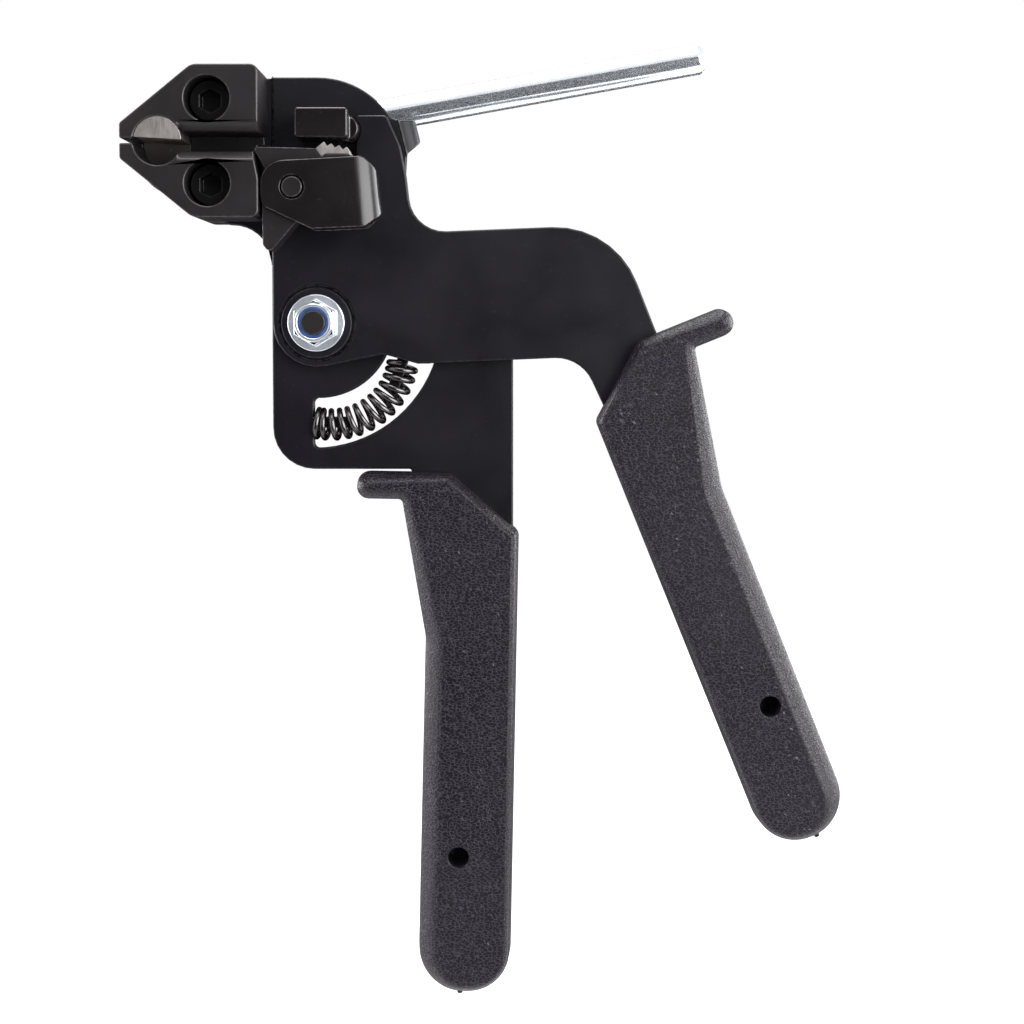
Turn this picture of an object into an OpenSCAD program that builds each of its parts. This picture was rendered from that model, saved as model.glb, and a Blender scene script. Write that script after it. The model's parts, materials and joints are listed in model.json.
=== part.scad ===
// Tensioning tool for steel cable ties, with a moving handle, a pawl and a turning cutter.
// All lengths are millimetres. The model is built round the pivot bolt, with X to the
// right, Y away from the viewer and Z up, and place() then puts the hang hole of the
// fixed grip at the origin.

/* [Plates] */

// thickness of both steel plates
plate_thickness = 3; // [2.5:0.1:3.5]
// running gap between the two plates
plate_gap = 0.3; // [0.2:0.05:0.5]
// left edge of the fixed plate, from the pivot
frame_left = 11.6; // [11.2:0.1:14]
// right edge of the fixed plate, from the pivot
frame_right = 49; // [46:0.5:52]
// bottom edge of the fixed plate, below the pivot
frame_bottom = 36.8; // [34:0.2:42]
// radius of the fixed plate's bottom corner
frame_corner = 10.5; // [4:0.5:12]
// top edge of the fixed plate, above the strap line
crown_rise = 17.5; // [15:0.5:20]
// radius of the rounded crown
crown_radius = 21.5; // [20:0.5:23]
// height of the shoulder behind the arm, above the pivot
shoulder_height = 19.5; // [16:0.5:21]
// depth of the milled seat for the nose
seat_depth = 0.6; // [0.3:0.1:1]
// width of the finger that carries the anvil, at its top
finger_width = 7.6; // [6.5:0.1:9]
// width of the arm between pivot and grip
arm_width = 33; // [31:0.5:35]
// radius of the moving plate's round end
hub_radius = 11; // [10.5:0.1:11.2]

/* [Pivot] */

// diameter of the bolt's bearing shoulder
shoulder_diameter = 10; // [8:0.5:11]
// thread diameter of the bolt
bolt_diameter = 6; // [5:0.5:7]
// width across the flats of the bolt's head
bolt_head_width = 13; // [12:0.5:17]
// height of the bolt's head
bolt_head_height = 4; // [3:0.5:6]
// outside diameter of the black washer
washer_diameter = 17.6; // [16:0.2:18.4]
// thickness of the black washer
washer_thickness = 1.2; // [0.8:0.1:2]
// flange diameter of the lock nut
flange_diameter = 14.2; // [13:0.2:15.6]
// width across the flats of the lock nut
nut_width = 10; // [9.6:0.2:11]
// whole height of the lock nut
nut_height = 8; // [6.5:0.25:9]
// diameter of the nylon ring
nylon_diameter = 7.6; // [7.2:0.1:8]

/* [Nose] */

// height of the strap line above the pivot
strap_height = 43.8; // [42.8:0.2:45]
// distance from the pivot to the flat tip of the nose
nose_reach = 46.1; // [45.5:0.5:49]
// length of the nose along the strap
nose_length = 33.5; // [33:0.25:34]
// height of the nose
nose_height = 36.8; // [34:0.4:40]
// height of the flat tip
tip_height = 8.4; // [6:0.2:11]
// length of the two slopes behind the tip
slope_length = 17.5; // [15:0.5:20]
// depth of the nose's front block
nose_depth = 17; // [16:0.5:20]
// depth of the nose's rear block
rear_depth = 10; // [8:0.5:13]
// height of the strap channel
channel_height = 4.6; // [4.4:0.1:5.4]
// height of the channel's bevelled mouth
mouth_height = 9; // [7:0.25:9.5]
// depth of the strap channel from the front
channel_depth = 13; // [10:0.5:14]
// height of the slit through the tip
slit_height = 1.2; // [0.8:0.1:2]
// distance of the two screws above and below the strap line
screw_offset = 10.2; // [10:0.1:11]
// distance of the two screws from the tip
screw_reach = 21.2; // [20.5:0.25:23]
// shank diameter of the two screws
screw_diameter = 6; // [5:0.5:6]
// head diameter of the two screws
screw_head = 10; // [9:0.25:10.5]
// socket width of the two screws
screw_socket = 5; // [4:0.5:6]
// depth from the nose's face to the screw heads
screw_sink = 5.5; // [4:0.5:7]

/* [Cutter] */

// diameter of the cutter shaft
cutter_diameter = 11.6; // [10.6:0.1:12]
// distance of the cutter shaft from the tip
cutter_reach = 9.2; // [9:0.1:9.8]
// height of the half round's flat above the axis
cutter_flat = 0.6; // [0:0.1:1.2]
// turn of the half round's flat, clockwise, degrees
cutter_turn = 3.4; // [0:0.2:6]
// diameter of the lever's hub
hub_diameter = 22; // [20:0.5:26]
// length of the lever's hub
hub_length = 12.2; // [11:0.2:15]
// diameter of the lever's rod
rod_diameter = 8.4; // [7.6:0.2:8.6]
// distance from the cutter shaft to the rod's end
rod_reach = 137.6; // [120:1:150]
// lean of the rod at rest, degrees above level
rod_lean = 10; // [9.8:0.1:10.2]
// distance by which the rod passes above the shaft's axis
rod_offset = 1.2; // [1.1:0.05:1.4]
// diameter of the hub's grub screw
grub_diameter = 5; // [4:0.5:6]
// height of the bent tab that the rod rests on
tab_height = 8.9; // [7:0.1:9]
// reach of the bent tab behind the fixed plate
tab_reach = 19.7; // [18:0.5:24]
// lean of the bent tab, degrees
tab_lean = 14; // [13:0.5:15]

/* [Spring] */

// wire diameter of the return spring
wire_diameter = 1.5; // [1.3:0.05:1.55]
// outside diameter of the return spring's coil
coil_diameter = 8.4; // [8:0.1:8.5]
// number of curls
curls = 11; // [9:1:11]
// radius of the curved line that the spring follows
spring_radius = 18.2; // [18:0.1:18.5]
// angle that the spring turns through from end to end, degrees
spring_turn = 93; // [88:0.5:94]
// inner radius of the curved slot
slot_inner = 18.9; // [17:0.1:19.2]
// outer radius of the curved slot
slot_outer = 32.4; // [32:0.1:33]
// width of the two pegs inside the coil
peg_width = 2.8; // [2:0.1:3.4]

/* [Anvil and pawl] */

// length of the anvil block along the strap
anvil_length = 12.8; // [11:0.2:13]
// height of the anvil block
anvil_height = 7.2; // [6:0.2:8.5]
// gap between the strap line and the anvil's face
anvil_gap = 1.1; // [1:0.1:1.6]
// diameter of the anvil's stud
stud_diameter = 6; // [5:0.25:6.5]
// width over the folded clip
clip_width = 12; // [11.5:0.25:12.5]
// thickness of the clip's sheet
clip_sheet = 1.5; // [1:0.1:1.8]
// diameter of the pawl pin
pin_diameter = 5; // [4:0.25:5.5]
// distance of the pawl pin below the strap line
pin_drop = 11; // [10.8:0.1:11.1]
// distance of the pawl pin left of the pivot
pin_left = 4.6; // [4.4:0.1:4.9]
// height of the teeth
tooth_height = 1.3; // [0.8:0.1:1.5]
// distance from one tooth to the next
tooth_pitch = 1.85; // [1.6:0.05:2]

/* [Grips] */

// width of a grip below the neck
grip_width = 23.2; // [22:0.2:26]
// length of a grip from its inner corner to its end
grip_length = 117.8; // [112:1:130]
// thickness of a grip
grip_depth = 16; // [14:0.5:20]
// reach of the guard from the inner side
guard_reach = 40.8; // [37:0.5:46]
// height of the guard
guard_height = 7; // [6:0.25:9]
// rise of the guard's top above the inner corner
guard_rise = 14.3; // [13:0.25:16]
// diameter of the hang hole
hang_diameter = 5.2; // [4:0.2:8]
// distance of the hang hole from the grip's end
hang_offset = 35.5; // [32:0.5:44]
// lean of the fixed grip, degrees
left_lean = 1.1; // [0:0.1:2]
// lean of the moving grip at rest, degrees
right_lean = 22; // [21:0.2:24]
// drop of the fixed grip's inner corner below the pivot
left_drop = 52.3; // [50:0.5:56]
// reach of the moving grip's inner corner from the pivot
right_reach = 69.8; // [69:0.2:71]
// drop of the moving grip's inner corner below the pivot
right_drop = 24; // [23:0.25:25]

/* [Hidden] */

$fn = 72;
// named overrun of every cut
over = 1;
// radial clearances of running and of fixed round fits
running = 0.05;
seated = 0.02;
// clearance of flat faces that slide on each other
side_clearance = 0.1;
// steps along a rounded corner
corner_steps = 7;

// places along Y, from the front face of the moving plate
plate_back = plate_thickness;
frame_front = plate_thickness + plate_gap;
frame_back = frame_front + plate_thickness;
frame_mid = frame_front + plate_thickness / 2;
arm_mid = plate_thickness / 2;
seat_front = frame_front + seat_depth;
nose_front_y = seat_front - nose_depth;
nose_back_y = frame_back + rear_depth;
channel_floor = nose_front_y + channel_depth;

function unit(v) = v / norm(v);
function bow(a, b, c, r) =
    let (u = unit(a - b), v = unit(c - b), half = acos(u * v) / 2,
         p = b + u * r / tan(half), q = b + v * r / tan(half),
         m = b + unit(u + v) * r / sin(half),
         s = atan2(p.y - m.y, p.x - m.x), t = atan2(q.y - m.y, q.x - m.x),
         sweep = (t - s + 540) % 360 - 180)
    [for (i = [0 : corner_steps])
        m + r * [cos(s + sweep * i / corner_steps), sin(s + sweep * i / corner_steps)]];
// an outline of [x, z, radius] corners, with each corner rounded
function rounded(c) = let (n = len(c))
    [for (i = [0 : n - 1])
        let (a = c[(i + n - 1) % n], b = c[i], d = c[(i + 1) % n])
        each (b.z > 0 ? bow([a.x, a.y], [b.x, b.y], [d.x, d.y], b.z) : [[b.x, b.y]])];
function arc(centre, r, from, to, steps) =
    [for (i = [0 : steps]) let (a = from + (to - from) * i / steps)
        centre + r * [cos(a), sin(a)]];
// the same arc as sharp corners for rounded()
function arc_corners(centre, r, from, to, steps) =
    [for (p = arc(centre, r, from, to, steps)) [p.x, p.y, 0]];

// an outline in X and Z, drawn out along Y
module slab(y0, y1) {
    translate([0, y1, 0]) rotate([90, 0, 0]) linear_extrude(y1 - y0) children();
}
// a round bar along Y
module bar(x, z, y0, y1, d) {
    translate([x, y1, z]) rotate([90, 0, 0]) cylinder(h = y1 - y0, d = d);
}
// a hexagon along Y, w across its flats
module hexbar(x, z, y0, y1, w) {
    translate([x, y1, z]) rotate([90, 0, 0]) rotate(30)
        cylinder(h = y1 - y0, d = w / cos(30), $fn = 6);
}

// a place in a grip's own frame, a across from its inner side and b up, as X and Z;
// side is 1 for the moving grip and -1 for the fixed one
function in_grip(x, drop, side, lean, a, b) =
    [x + side * (a * cos(lean) - b * sin(lean)), a * sin(lean) + b * cos(lean) - drop];
tang_in = 1.1;
left_far = 26.8;
right_far = 21.9;
arm_in = 3;
tang_inner = 4.2;
tang_outer = 17.5;
tang_taper = 14;
tang_end = grip_length - hang_offset - hang_diameter / 2 - tang_inner;
left_x = frame_right + tang_in;
hang_across = 13.3;
hang_b = hang_offset - grip_length;
left_hang = in_grip(left_x, left_drop, -1, left_lean, hang_across, hang_b);
right_hang = in_grip(right_reach, right_drop, 1, right_lean, hang_across, hang_b);
// the tang inside a grip, from its inner side near to its outer side far
function tang(x, drop, side, lean, near, far) =
    [for (p = [[near, over], [near, 0], [tang_inner, -tang_taper], [tang_inner, -tang_end],
               [tang_outer, -tang_end], [tang_outer, -tang_taper], [far, 0], [far, over]])
        in_grip(x, drop, side, lean, p.x, p.y)];

// the nose
tip_x = -nose_reach;
nose_right = tip_x + nose_length;
cutter_x = tip_x + cutter_reach;
screw_x = tip_x + screw_reach;
bore_radius = cutter_diameter / 2 + running;
screw_clear = 0.2;
counterbore_clear = 0.5;
screw_head_height = screw_diameter;
screw_length = 20;
nose_corner = 1.8;
slope_round = 4;
tip_round = 1.2;
relief_depth = 1.8;
relief_height = 9;
nose_half = nose_height / 2;
tip_half = tip_height / 2;
module nose_outline() {
    z = strap_height;
    slope_x = tip_x + slope_length;
    polygon(rounded([
        [tip_x, z + tip_half, tip_round], [tip_x, z - tip_half, tip_round],
        [slope_x, z - nose_half, slope_round], [nose_right, z - nose_half, nose_corner],
        [nose_right, z + nose_half, nose_corner], [slope_x, z + nose_half, slope_round]]));
}
module nose_bores(y0, y1, screw_d) {
    bar(cutter_x, strap_height, y0 - over, y1 + over, 2 * bore_radius);
    for (s = [-1, 1])
        bar(screw_x, strap_height + s * screw_offset, y0 - over, y1 + over, screw_d);
}
module nose_front() {
    bevel = (mouth_height - channel_height) / 2;
    half = channel_height / 2;
    right = nose_right + over;
    color([0.09, 0.09, 0.1]) difference() {
        slab(nose_front_y, seat_front) nose_outline();
        nose_bores(nose_front_y, seat_front, screw_diameter + 2 * screw_clear);
        for (s = [-1, 1])
            bar(screw_x, strap_height + s * screw_offset, nose_front_y - over,
                nose_front_y + screw_sink + screw_head_height, screw_head + 2 * counterbore_clear);
        // the strap channel, its bevelled mouth and the slit through the tip
        translate([cutter_x, nose_front_y - over, strap_height - half])
            cube([right - cutter_x, channel_depth + over, channel_height]);
        translate([cutter_x + bore_radius * cos(30), 0, strap_height]) rotate([90, 0, 90])
            linear_extrude(right - cutter_x)
            polygon([[nose_front_y - over, half + bevel + over], [nose_front_y + bevel, half],
                     [nose_front_y + bevel, -half], [nose_front_y - over, -half - bevel - over]]);
        translate([tip_x - over, nose_front_y - over, strap_height - slit_height / 2])
            cube([cutter_reach + over, channel_depth + over, slit_height]);
        // the room for the pawl's wing
        slab(nose_front_y - over, seat_front + over)
            polygon([[nose_right - relief_depth, strap_height], [right, strap_height],
                     [right, strap_height - relief_height - over],
                     [nose_right, strap_height - relief_height]]);
    }
}
module nose_rear() {
    color([0.09, 0.09, 0.1]) difference() {
        slab(frame_back, nose_back_y) nose_outline();
        nose_bores(frame_back, nose_back_y, screw_diameter + 2 * seated);
    }
}
module cap_screw(s) {
    z = strap_height + s * screw_offset;
    top = nose_front_y + screw_sink;
    color([0.07, 0.07, 0.08]) difference() {
        union() {
            bar(screw_x, z, top, top + screw_head_height, screw_head);
            bar(screw_x, z, top + screw_head_height / 2, top + screw_head_height + screw_length,
                screw_diameter);
        }
        hexbar(screw_x, z, top - over, top + screw_head_height / 2, screw_socket);
    }
}

// the fixed plate
crown_top = strap_height + crown_rise;
crown_x = 0.2;
crown_start = 32.5;
tab_root_x = 21.3;
tab_root_share = 0.292;
tab_root_z = strap_height + tab_root_share * tab_height;
tab_bend = 1;
// how far the tab's end is drawn in, and the slopes of its two edges, X and Y
tab_draw = 1.3;
tab_low_share = [0.47, 0.16];
tab_top_share = [-0.2, 0.04];
step_inset = 0.4;
step_drop = 0.2;
mount_inset = 0.3;
brow = 1.6;
chin = 4.6;
neck_radius = 10;
neck_overlap = 0.8;
head_side = 21;
shoulder_round = 9;
shoulder_fillet = 6;
slot_top = 13;
slot_round = 1.3;
// the outer arc's centre, from the pivot
slot_shift = [-1.5, 0.9];
// the moving plate's edge that bears on the spring
seat_start = 16.6;
seat_x = 25.2;
seat_drop = 10.2;
belly_angle = 11.6;
function belly(x) = x * tan(belly_angle) - hub_radius / cos(belly_angle);
seat_mid = [(seat_start + seat_x) / 2, (belly(seat_start) - seat_drop) / 2];
// the spring's curved line, from the slot's left end to the moving plate's edge
spring_x = 3.1;
spring_z = -7.4;
spring_clear = 0.15;
coil_radius = (coil_diameter - wire_diameter) / 2;
clear_turn = asin((wire_diameter / 2 + spring_clear) / spring_radius);
spring_start = atan2(seat_mid.x - spring_x, spring_z - seat_mid.y) - clear_turn - spring_turn;
first_side = spring_start + spring_turn / curls / 4;
slot_end = wire_diameter / 2 + spring_clear - spring_x
    - (spring_radius + coil_radius) * sin(first_side);
function slot_turn(centre_x, r) = acos((2 * slot_round - slot_end - centre_x) / r);
peg_drop = 25;
peg_reach = 8.2;
module frame_outline() {
    z = strap_height;
    in = mount_inset;
    low = z - nose_half - neck_overlap;
    tab_x = tab_height / 2 * sin(tab_lean);
    tab_z = tab_height / 2 * cos(tab_lean);
    into_grip = tang(left_x, left_drop, -1, left_lean, tang_in, left_far);
    polygon(rounded(concat(
        [[frame_right, shoulder_height, shoulder_round],
         [head_side, shoulder_height, shoulder_fillet],
         [tab_root_x + tab_x, tab_root_z - tab_z, 0], [tab_root_x - tab_x, tab_root_z + tab_z, 0]],
        arc_corners([crown_x, crown_top - crown_radius], crown_radius, crown_start, 90, 12),
        [[step_inset - frame_left, crown_top, 0], [step_inset - frame_left, crown_top - step_drop, 0],
         [nose_right - step_inset, crown_top - step_drop, 0],
         [nose_right - step_inset - brow, z + nose_half - in, 0],
         [tip_x + slope_length, z + nose_half - in, 0],
         [tip_x + in, z + tip_half, 0], [tip_x + in, z - tip_half, 0],
         [tip_x + slope_length, z - nose_half + in, 0],
         [tip_x + slope_length + chin, z - nose_half + in, 0],
         [tip_x + slope_length + chin + brow, low, 0]],
        arc_corners([-frame_left - neck_radius, low - neck_radius], neck_radius, 90, 0, 9),
        [[-frame_left, -frame_bottom, frame_corner], [left_x - left_far, -frame_bottom, 0]],
        [for (i = [6 : -1 : 1]) [into_grip[i].x, into_grip[i].y, 0]])));
}
// a block under or over a plane that passes through the origin with a slope along X and Y
module beyond(side, slope) {
    wide = 4 * tab_reach;
    rotate([atan(slope.y * cos(atan(slope.x))), -atan(slope.x), 0])
        translate([-wide / 2, -wide / 2, side < 0 ? -wide : 0]) cube(wide);
}
// the bent tab that the rod rests on, with both edges cut on a slope
module bent_tab() {
    inner = tab_bend + seated;
    outer = tab_bend + plate_thickness - seated;
    half = tab_height / 2 - seated;
    end = tab_reach - tab_bend;
    translate([tab_root_x, frame_back + tab_bend, tab_root_z]) rotate([0, -tab_lean, 0])
        difference() {
            translate([0, 0, -half]) linear_extrude(2 * half)
                polygon(concat([[-plate_thickness, -inner], [-plate_thickness, -outer]],
                    arc([0, 0], outer, -90, 0, 8),
                    [[outer - tab_draw, end], [inner - tab_draw, end]],
                    arc([0, 0], inner, 0, -90, 8)));
            translate([0, -outer, -half]) beyond(-1, tab_low_share);
            translate([0, -outer, half]) beyond(1, tab_top_share);
        }
}
module fixed_plate() {
    edge = step_inset - frame_left;
    seat_low = strap_height - nose_half - neck_overlap - neck_radius;
    color([0.1, 0.1, 0.11]) difference() {
        union() {
            slab(frame_front, frame_back) {
                difference() {
                    frame_outline();
                    polygon(rounded(concat(
                        [[-slot_end, -slot_inner, slot_round],
                         [-slot_end, slot_shift.y - slot_outer, slot_round]],
                        arc_corners(slot_shift, slot_outer, -slot_turn(slot_shift.x, slot_outer),
                                    -slot_top, 16),
                        arc_corners([0, 0], slot_inner, -slot_top, -slot_turn(0, slot_inner), 16))));
                }
                peg([-slot_end - peg_width, -peg_drop], 90, slot_end + peg_width + peg_reach);
            }
            bent_tab();
        }
        nose_bores(frame_front, frame_back, screw_diameter + 2 * screw_clear);
        bar(0, 0, frame_front - over, frame_back + over, shoulder_diameter + 2 * seated);
        // the milled seat of the nose
        slab(frame_front - over, seat_front) polygon([
            [tip_x - over, seat_low], [edge, seat_low],
            [edge, crown_top + over], [tip_x - over, crown_top + over]]);
    }
}

// the spring, one tube along a curved coil
rings_a_curl = 8;
wire_sides = 6;
rings = curls * rings_a_curl;
function coil_turn(i) = 360 * i / rings_a_curl - 90;
function coil_angle(i) = spring_start + spring_turn * i / rings;
function coil(i) = let (a = coil_angle(i), r = spring_radius + coil_radius * cos(coil_turn(i)))
    [spring_x + r * sin(a), frame_mid + coil_radius * sin(coil_turn(i)), spring_z - r * cos(a)];
function coil_out(i) = let (a = coil_angle(i), turn = coil_turn(i))
    [cos(turn) * sin(a), sin(turn), -cos(turn) * cos(a)];
coil_gap = min([for (i = [0 : rings - rings_a_curl + 2])
    for (j = [i + rings_a_curl - 2 : min(rings, i + 2 * rings_a_curl)])
    norm(coil(i) - coil(j))]) - wire_diameter;
module return_spring() {
    side = wire_diameter / 2;
    points = [for (i = [0 : rings])
        let (along = unit(coil(min(rings, i + 1)) - coil(max(0, i - 1))),
             across = unit(cross(along, coil_out(i))), up = cross(across, along))
        for (k = [0 : wire_sides - 1]) let (a = 360 * k / wire_sides)
            coil(i) + side * (up * cos(a) + across * sin(a))];
    color([0.15, 0.15, 0.16]) polyhedron(points, concat(
        [[for (k = [wire_sides - 1 : -1 : 0]) k]],
        [[for (k = [0 : wire_sides - 1]) rings * wire_sides + k]],
        [for (i = [0 : rings - 1]) for (k = [0 : wire_sides - 1])
            let (a = i * wire_sides + k, b = i * wire_sides + (k + 1) % wire_sides)
            each [[a, b, b + wire_sides], [a, b + wire_sides, a + wire_sides]]]));
}
// a peg from a place, its length at an angle from straight down
module peg(from, angle, length) {
    translate(from) rotate(angle) translate([-peg_width / 2, -length]) square([peg_width, length]);
}

// the pivot
spot_depth = 0.3;
spot_clear = 0.6;
washer_back = spot_depth - side_clearance;
washer_front = washer_back - washer_thickness;
flange_thickness = 1.3;
collar_height = 2;
collar_share = 0.94;
collar_diameter = nut_width * collar_share;
bolt_tip = 0.3;
nut_front = washer_front - nut_height;
module pivot_bolt() {
    color([0.08, 0.08, 0.09]) {
        bar(0, 0, washer_back, frame_back + bolt_head_height / 2, shoulder_diameter);
        bar(0, 0, nut_front - bolt_tip, frame_back, bolt_diameter);
        hexbar(0, 0, frame_back, frame_back + bolt_head_height, bolt_head_width);
    }
}
module pivot_washer() {
    color([0.1, 0.1, 0.11]) difference() {
        bar(0, 0, washer_front, washer_back, washer_diameter);
        bar(0, 0, washer_front - over, washer_back + over, bolt_diameter + 2 * running);
    }
}
module lock_nut() {
    color([0.75, 0.76, 0.78]) difference() {
        union() {
            bar(0, 0, washer_front - flange_thickness, washer_front, flange_diameter);
            hexbar(0, 0, nut_front + collar_height, washer_front, nut_width);
            bar(0, 0, nut_front, washer_front, collar_diameter);
        }
        bar(0, 0, nut_front - over, washer_front + over, bolt_diameter + 2 * seated);
        bar(0, 0, nut_front - over, nut_front + collar_height, nylon_diameter + 2 * seated);
    }
}
module nylon_ring() {
    color([0.2, 0.42, 0.72]) difference() {
        bar(0, 0, nut_front + seated, nut_front + collar_height, nylon_diameter);
        bar(0, 0, nut_front - over, nut_front + collar_height + over, bolt_diameter + 2 * seated);
    }
}

// the moving plate, with the anvil and the places round it
anvil_right = 8.7;
anvil_round = 0.8;
anvil_back = 0.8;
anvil_bottom = strap_height + anvil_gap;
stud_inset = 0.7;
stud_rise = 2.7;
stud_x = anvil_right - stud_inset;
stud_z = anvil_bottom + stud_rise;
pin_z = strap_height - pin_drop;
clip_back = -side_clearance;
clip_front = clip_back - clip_width;
jaw_front = clip_front + clip_sheet + side_clearance;
jaw_back = clip_back - clip_sheet - side_clearance;
finger_gap = 1.3;
finger_drop = 0.6;
finger_round = 1.6;
finger_left = anvil_right + finger_gap;
finger_right = finger_left + finger_width;
finger_top = anvil_bottom + anvil_height - finger_drop;
shelf_drop = 5.8;
shelf_round = 3;
pawl_shelf = strap_height - shelf_drop;
heel = 1;
// where the finger's back widens toward the arm
back_reach = [3.4, 4.8, 6.4];
back_round = [10, 14, 9];
elbow_reach = 4.4;
elbow_rise = 1.7;
elbow_radius = 22;
wrist_inset = 3.8;
wrist_radius = 10;
edge_round = 0.3;
arm_top = arm_width - seat_drop;
module arm_outline() {
    into_grip = in_grip(right_reach, right_drop, 1, right_lean, arm_in, over);
    polygon(rounded([
        [finger_left, finger_top, finger_round / 2], [finger_left, pawl_shelf, shelf_round],
        [-pin_left - heel, pawl_shelf, shelf_round], [-hub_radius, pin_z, shelf_round],
        [-hub_radius, belly(-hub_radius), hub_radius],
        [seat_start, belly(seat_start), edge_round], [seat_x, -seat_drop, edge_round],
        [right_reach - wrist_inset, elbow_rise - seat_drop, wrist_radius],
        [into_grip.x, into_grip.y, 0],
        for (p = tang(right_reach, right_drop, 1, right_lean, arm_in, right_far)) [p.x, p.y, 0],
        [right_reach + elbow_reach, arm_top + elbow_rise, elbow_radius],
        [finger_right + back_reach[2], arm_top - edge_round, back_round[2]],
        [finger_right + back_reach[1], pawl_shelf - finger_round, back_round[1]],
        [finger_right + back_reach[0], strap_height, back_round[0]],
        [finger_right, finger_top, finger_round]]));
}
module moving_plate() {
    color([0.1, 0.1, 0.11]) difference() {
        slab(0, plate_back) arm_outline();
        bar(0, 0, -over, plate_back + over, shoulder_diameter + 2 * running);
        bar(0, 0, -over, spot_depth, washer_diameter + 2 * spot_clear);
        bar(-pin_left, pin_z, -over, plate_back + over, pin_diameter + 2 * seated);
        bar(stud_x, stud_z, -over, plate_back + over, stud_diameter + 2 * seated);
    }
}
// the block behind the moving plate that presses on the spring's upper end
driver_clear = 0.6;
driver_step = 1.5;
driver_top = slot_top + driver_step;
driver_peg = 7;
driver_peg_lean = 18.5;
driver_peg_shift = 0.4;
driver_peg_root = 1.6;
module spring_driver() {
    inner = slot_inner + driver_clear;
    outer = slot_outer - norm(slot_shift) - driver_clear;
    low = asin(seat_drop / outer);
    color([0.1, 0.1, 0.11]) {
        slab(plate_back, frame_back) polygon(concat(
            arc([0, 0], outer, -low, -driver_top, 3),
            arc([0, 0], inner, -driver_top, -atan2(-belly(inner), inner), 3),
            [[seat_x, -seat_drop]]));
        slab(frame_front, frame_back)
            peg([seat_mid.x + driver_peg_shift, peg_width / 2 - seat_drop]
                + driver_peg_root * [sin(driver_peg_lean), cos(driver_peg_lean)],
                -driver_peg_lean, driver_peg_root + peg_width / 2 + driver_peg);
    }
}
module anvil_block() {
    left = anvil_right - anvil_length;
    top = anvil_bottom + anvil_height;
    color([0.12, 0.12, 0.13]) {
        slab(jaw_front, plate_back - anvil_back) polygon(rounded([
            [left, anvil_bottom, anvil_round], [anvil_right, anvil_bottom, anvil_round],
            [anvil_right, top, anvil_round], [left, top, anvil_round]]));
        bar(stud_x, stud_z, clip_front / 2, plate_back, stud_diameter);
    }
}
module pawl_pin() {
    color([0.16, 0.16, 0.17])
        bar(-pin_left, pin_z, clip_front - plate_gap, plate_back, pin_diameter);
}

// the pawl, drawn from its pin in shares of the pin's distance to the strap line
module on_pin() { translate([-pin_left, 0, pin_z]) children(); }
// the first tooth's tip, and the fall of each next tip in shares of the pitch
tip_shares = [0.7, 1];
fall_share = 0.23;
// each tooth's steep side, in shares of its height
steep_shares = [0.5, -0.9];
// the strip's left end and its underside, which the jaw follows
strip_start_shares = [0.518, 0.855];
strip_end_shares = [[1.3, 0.7], [1.205, 0.736], [0.736, 0.736], [0.645, 0.682]];
// the rest of the jaw, with its tail and its wing: across, up and radius
jaw_shares = [[1.09, -0.18, 0.27], [0.1, -0.736, 0.09], [-0.36, -1.264, 0.1],
              [-0.52, -1.44, 0.1], [-0.664, -1.264, 0.11], [-0.673, -0.21, 0.14],
              [-0.565, 0.33, 0.14], [-0.875, 0.89, 0.06]];
// the clip's outline: across, up and radius
clip_shares = [[-0.69, 0.56, 0.5], [-0.69, -0.4, 0.27], [0.43, -0.92, 0.09],
               [1.6, -0.87, 0.24], [1.96, -0.59, 0.18], [1.82, 0.43, 0.22],
               [1.56, 0.68, 0.22]];
clip_bend_share = 1.36;
clip_tilt = 5;
clip_hole_clear = 0.4;
function sized(shares) = [for (p = shares) pin_drop * p];
function strip_under() = sized(strip_end_shares);
module teeth() {
    fall = fall_share * tooth_pitch;
    tip = pin_drop * tip_shares;
    polygon(concat([pin_drop * strip_start_shares],
        [for (i = [0 : 3]) each [tip + i * [tooth_pitch, -fall],
            tip + i * [tooth_pitch, -fall] + tooth_height * steep_shares]],
        strip_under()));
}
module pawl_jaw() {
    start = pin_drop * strip_start_shares;
    color([0.13, 0.13, 0.14]) on_pin() difference() {
        slab(jaw_front, jaw_back) polygon(rounded(concat(
            [[start.x, start.y, 0]],
            [for (i = [3 : -1 : 0]) [strip_under()[i].x, strip_under()[i].y, 0]],
            sized(jaw_shares))));
        bar(0, 0, jaw_front - over, jaw_back + over, pin_diameter + 2 * running);
    }
}
module tooth_strip() {
    color([0.72, 0.72, 0.74]) on_pin() slab(jaw_front, jaw_back) teeth();
}
module pawl_clip() {
    bend = clip_width / 2;
    reach = 3 * pin_drop;
    color([0.1, 0.1, 0.11]) on_pin() difference() {
        intersection() {
            slab(clip_front, clip_back) polygon(rounded(sized(clip_shares)));
            translate([clip_bend_share * pin_drop, clip_front + bend, 0])
                rotate([0, -clip_tilt, 0]) {
                for (y = [-bend, bend - clip_sheet])
                    translate([-reach, y, -reach]) cube([reach, clip_sheet, 2 * reach]);
                translate([0, 0, -reach]) rotate(-90) rotate_extrude(angle = 180)
                    translate([bend - clip_sheet, 0]) square([clip_sheet, 2 * reach]);
            }
        }
        bar(0, 0, clip_front - over, clip_back + over, pin_diameter + 2 * clip_hole_clear);
    }
}

// the cutter and its lever
flat_front = nose_front_y + 2 * side_clearance;
hub_front = nose_back_y + plate_gap;
hub_back = hub_front + hub_length;
rod_y = (hub_front + hub_back) / 2;
rod_gap = 0.5;
rod_start = cutter_diameter / 2 + rod_gap;
rod_chamfer = 1.2;
rod_taper = 0.6;
module at_cutter() { translate([cutter_x, 0, strap_height]) children(); }
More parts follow.
